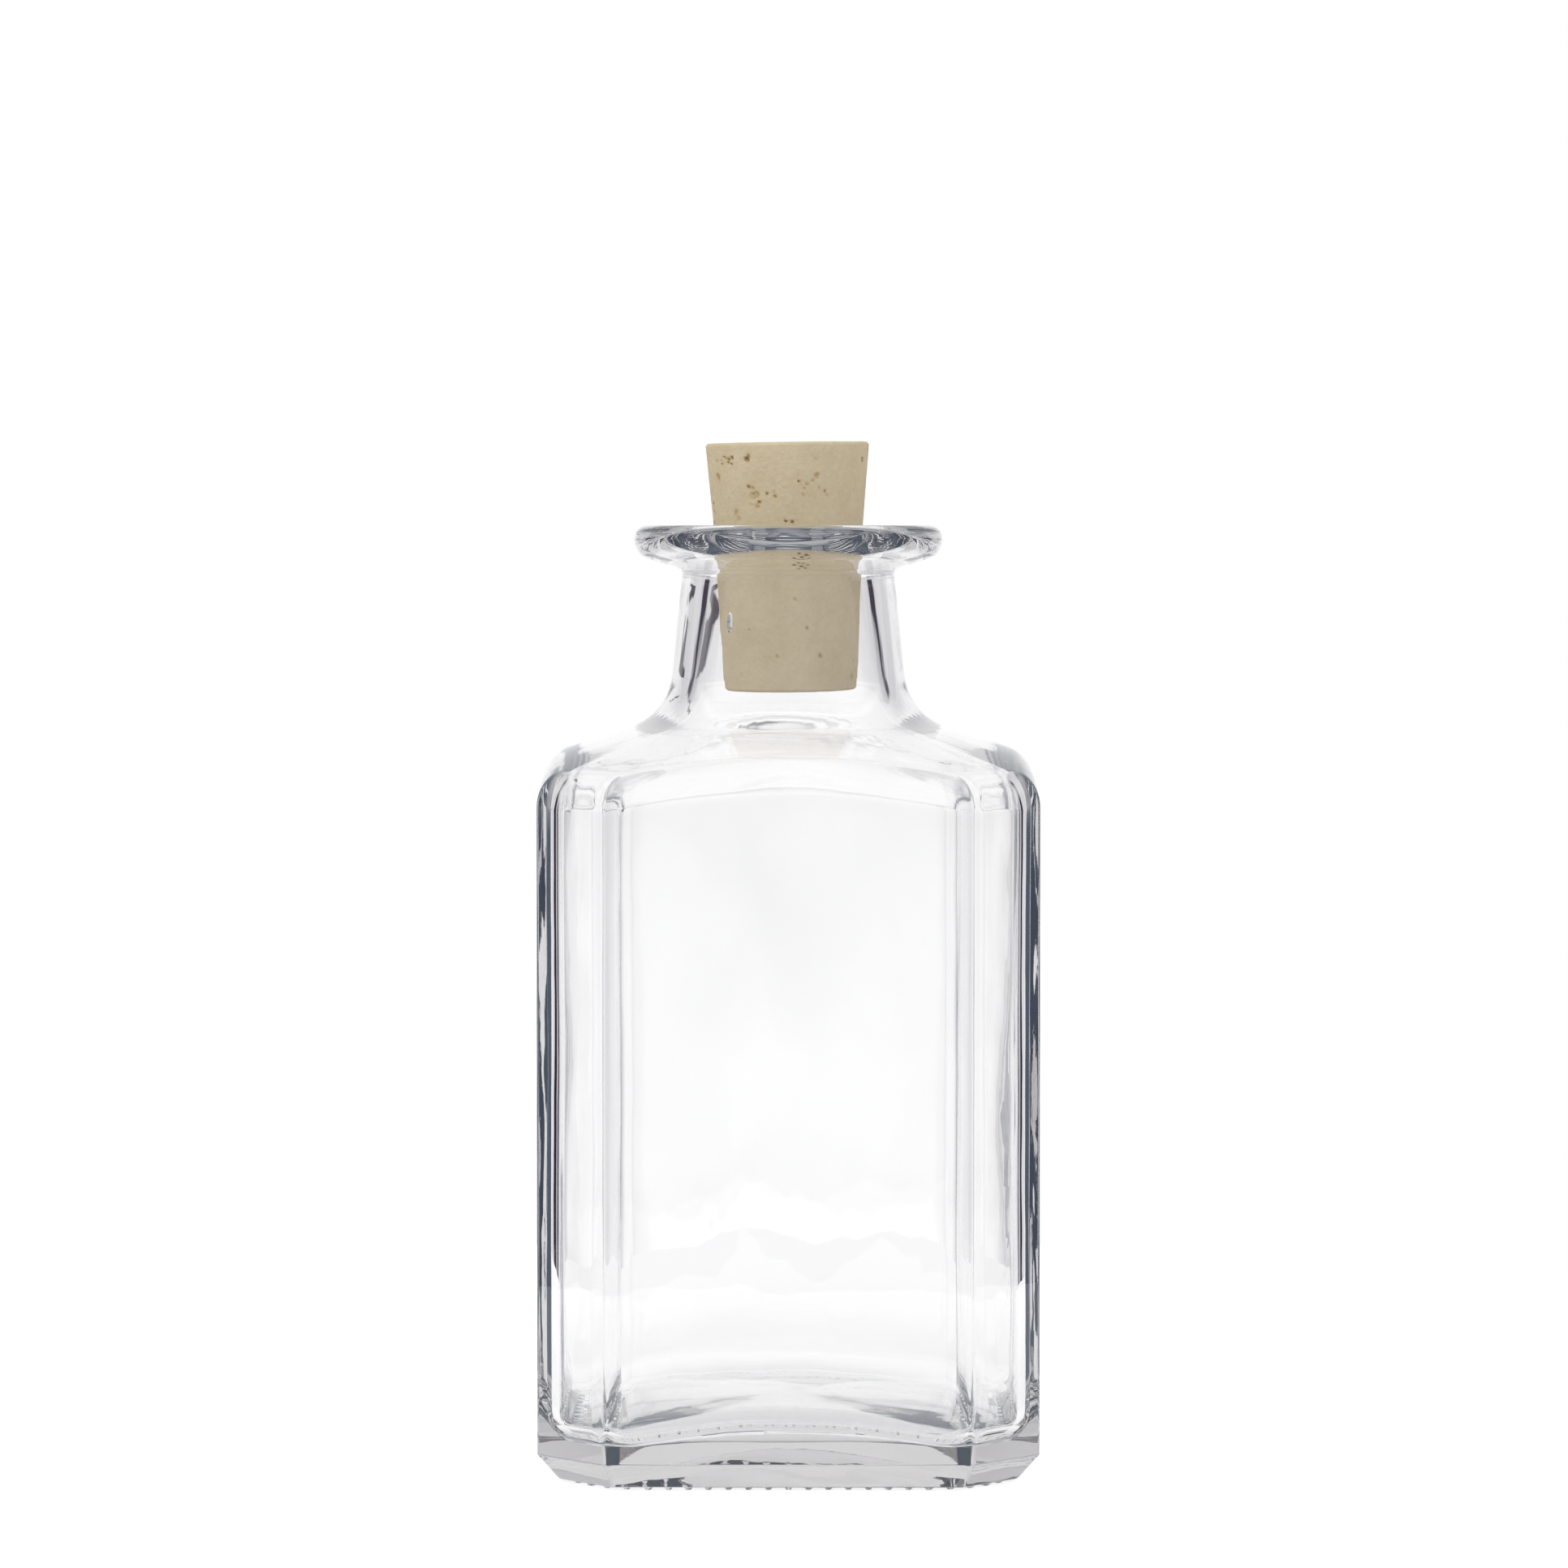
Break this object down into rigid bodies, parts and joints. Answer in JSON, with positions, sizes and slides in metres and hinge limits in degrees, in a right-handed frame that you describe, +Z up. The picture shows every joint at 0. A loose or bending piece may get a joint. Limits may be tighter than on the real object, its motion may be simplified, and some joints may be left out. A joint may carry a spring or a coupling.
{
  "type": "square glass bottle",
  "caption": "Square clear glass bottle with cut corners, a sloping shoulder, a round neck, a flanged lip and a tapered natural cork that lifts out.",
  "frame": {"origin": "on the surface that the bottle stands on, under the middle of its foot", "axes": "+Z up along the bottle's axis, +X to the right and -Y towards the viewer of the picture, each square to a panel"},
  "size_m": [0.0612, 0.0612, 0.1271],
  "materials": {
    "clear_glass": "fire-polished colourless moulded glass",
    "natural_cork": "sanded natural cork with small bark pits, unwaxed"
  },
  "bodies": {
    "bottle": {"glass_bottle": "clear_glass"},
    "cork": {"cork_stopper": "natural_cork"}
  },
  "joints": [
    {"name": "cork_lift", "type": "slide", "parent": "bottle", "child": "cork", "axis": [0, 0, 1], "range_m": [0, 0.045]}
  ]
}
